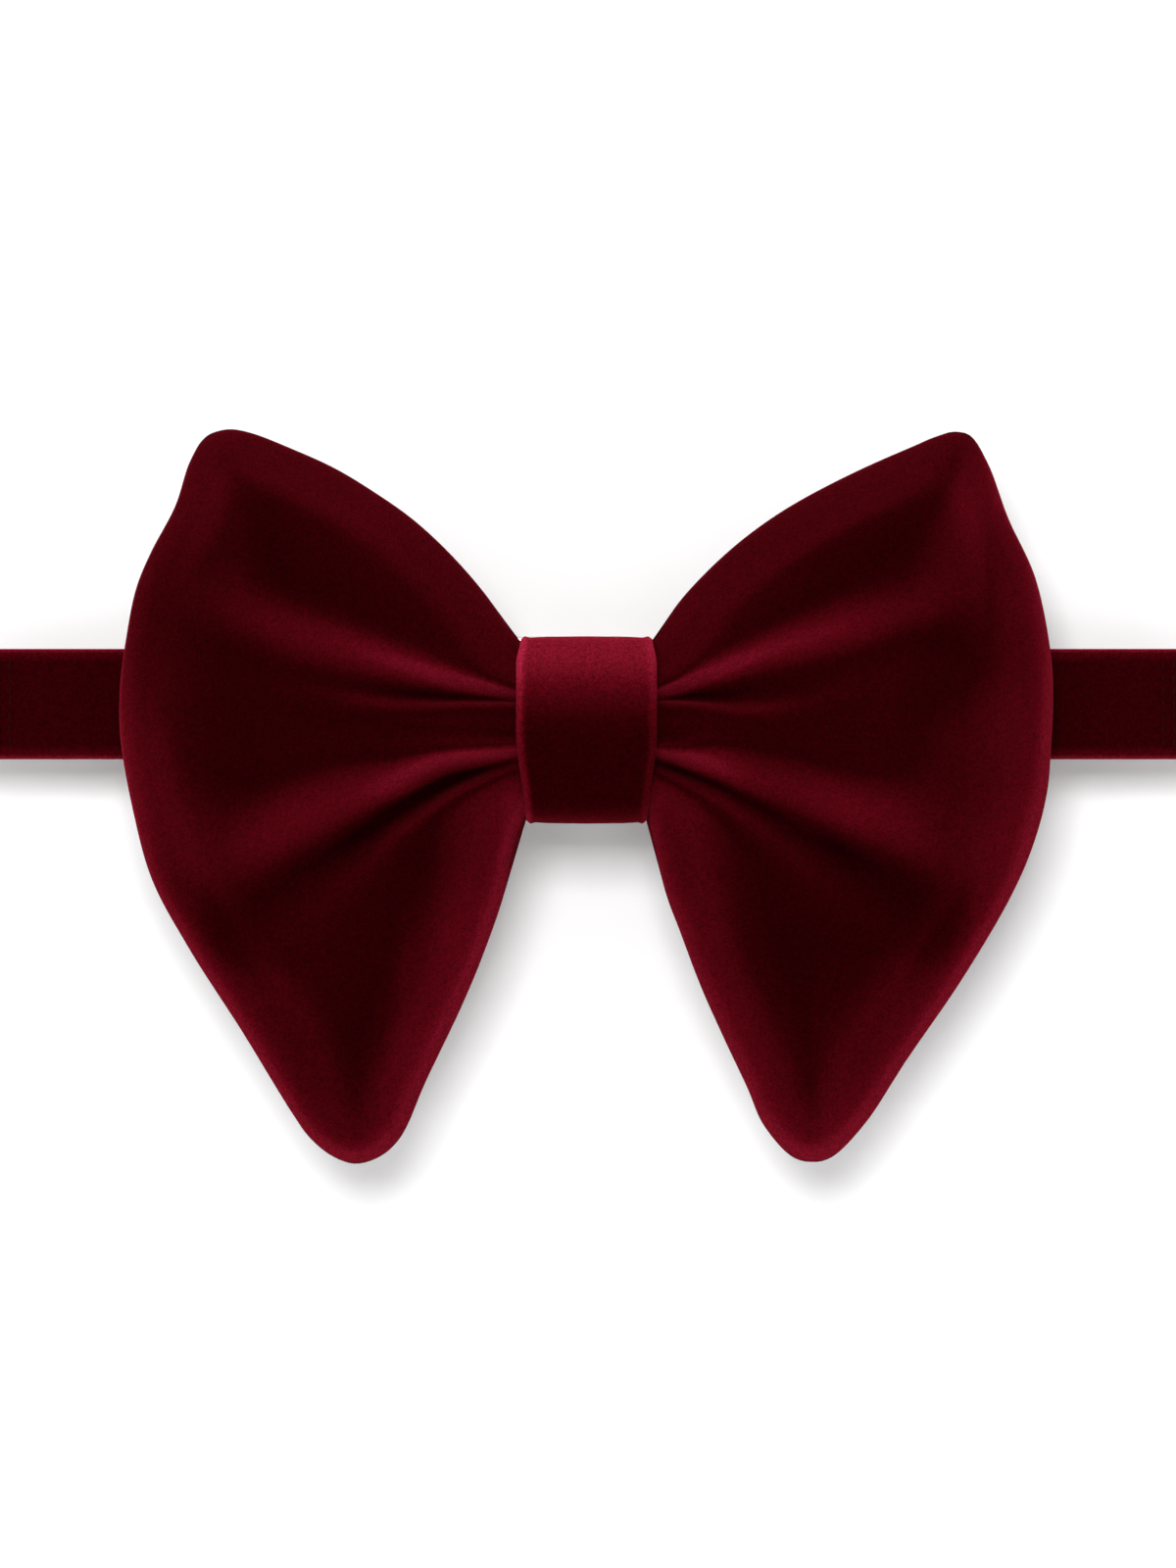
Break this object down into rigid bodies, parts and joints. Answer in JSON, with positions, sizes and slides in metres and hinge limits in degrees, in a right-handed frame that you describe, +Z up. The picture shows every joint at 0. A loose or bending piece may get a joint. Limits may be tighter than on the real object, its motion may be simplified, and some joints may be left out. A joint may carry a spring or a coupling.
{
  "type": "pre-tied bow tie",
  "caption": "Wide butterfly bow tie in velvet: two puffed wings gathered into a wrapped knot that slides on a flat neck band with a hook, an eye ring and a slide adjuster.",
  "frame": {"origin": "middle of the neck band's collar-side face, behind the knot", "axes": "upright as worn: the front faces -Y, the wings spread along X, +Z is up"},
  "size_m": [0.2234, 0.0394, 0.1259],
  "materials": {
    "velvet": "deep burgundy cotton velvet, short upright pile",
    "satin": "burgundy satin band",
    "canvas": "stiff woven canvas",
    "wadding": "soft polyester wadding",
    "thread": "burgundy sewing thread",
    "plated_metal": "nickel-plated steel wire and strip"
  },
  "bodies": {
    "neck_band": {"front_band_velvet": "velvet", "front_band_canvas": "canvas", "front_band_lining": "satin", "left_rear_band": "satin", "right_rear_band": "satin", "band_inner_layer": "satin", "join_stitches": "thread", "ring_fold_stitches": "thread"},
    "bow": {"knot_velvet": "velvet", "knot_stiffener": "canvas", "knot_stitches": "thread", "waist_binding": "thread", "bow_front_panel": "velvet", "bow_back_panel": "velvet", "bow_canvas": "canvas", "left_front_wadding": "wadding", "left_back_wadding": "wadding", "right_front_wadding": "wadding", "right_back_wadding": "wadding"},
    "eye_ring": {"eye_ring": "plated_metal"},
    "hook": {"hook": "plated_metal"},
    "adjuster": {"slide_adjuster": "plated_metal", "band_tail_loop": "satin", "tail_stitches": "thread"}
  },
  "joints": [
    {"name": "bow_slide", "type": "slide", "parent": "neck_band", "child": "bow", "axis": [1, 0, 0], "range_m": [-0.02, 0.02]},
    {"name": "adjuster_slide", "type": "slide", "parent": "neck_band", "child": "adjuster", "axis": [1, 0, 0], "range_m": [-0.025, 0.025], "deforming": ["band_inner_layer"]},
    {"name": "ring_swing", "type": "hinge", "parent": "neck_band", "child": "eye_ring", "pos_m": [-0.016, 0.0152, 0], "axis": [0, 0, 1], "range_deg": [-18, 18]},
    {"name": "hook_swing", "type": "hinge", "parent": "neck_band", "child": "hook", "pos_m": [0.008, 0.0152, 0], "axis": [0, 0, 1], "range_deg": [-18, 18]}
  ],
  "couplings": [
    {"joint": "hook_swing", "follows": "ring_swing", "ratio": -1}
  ]
}
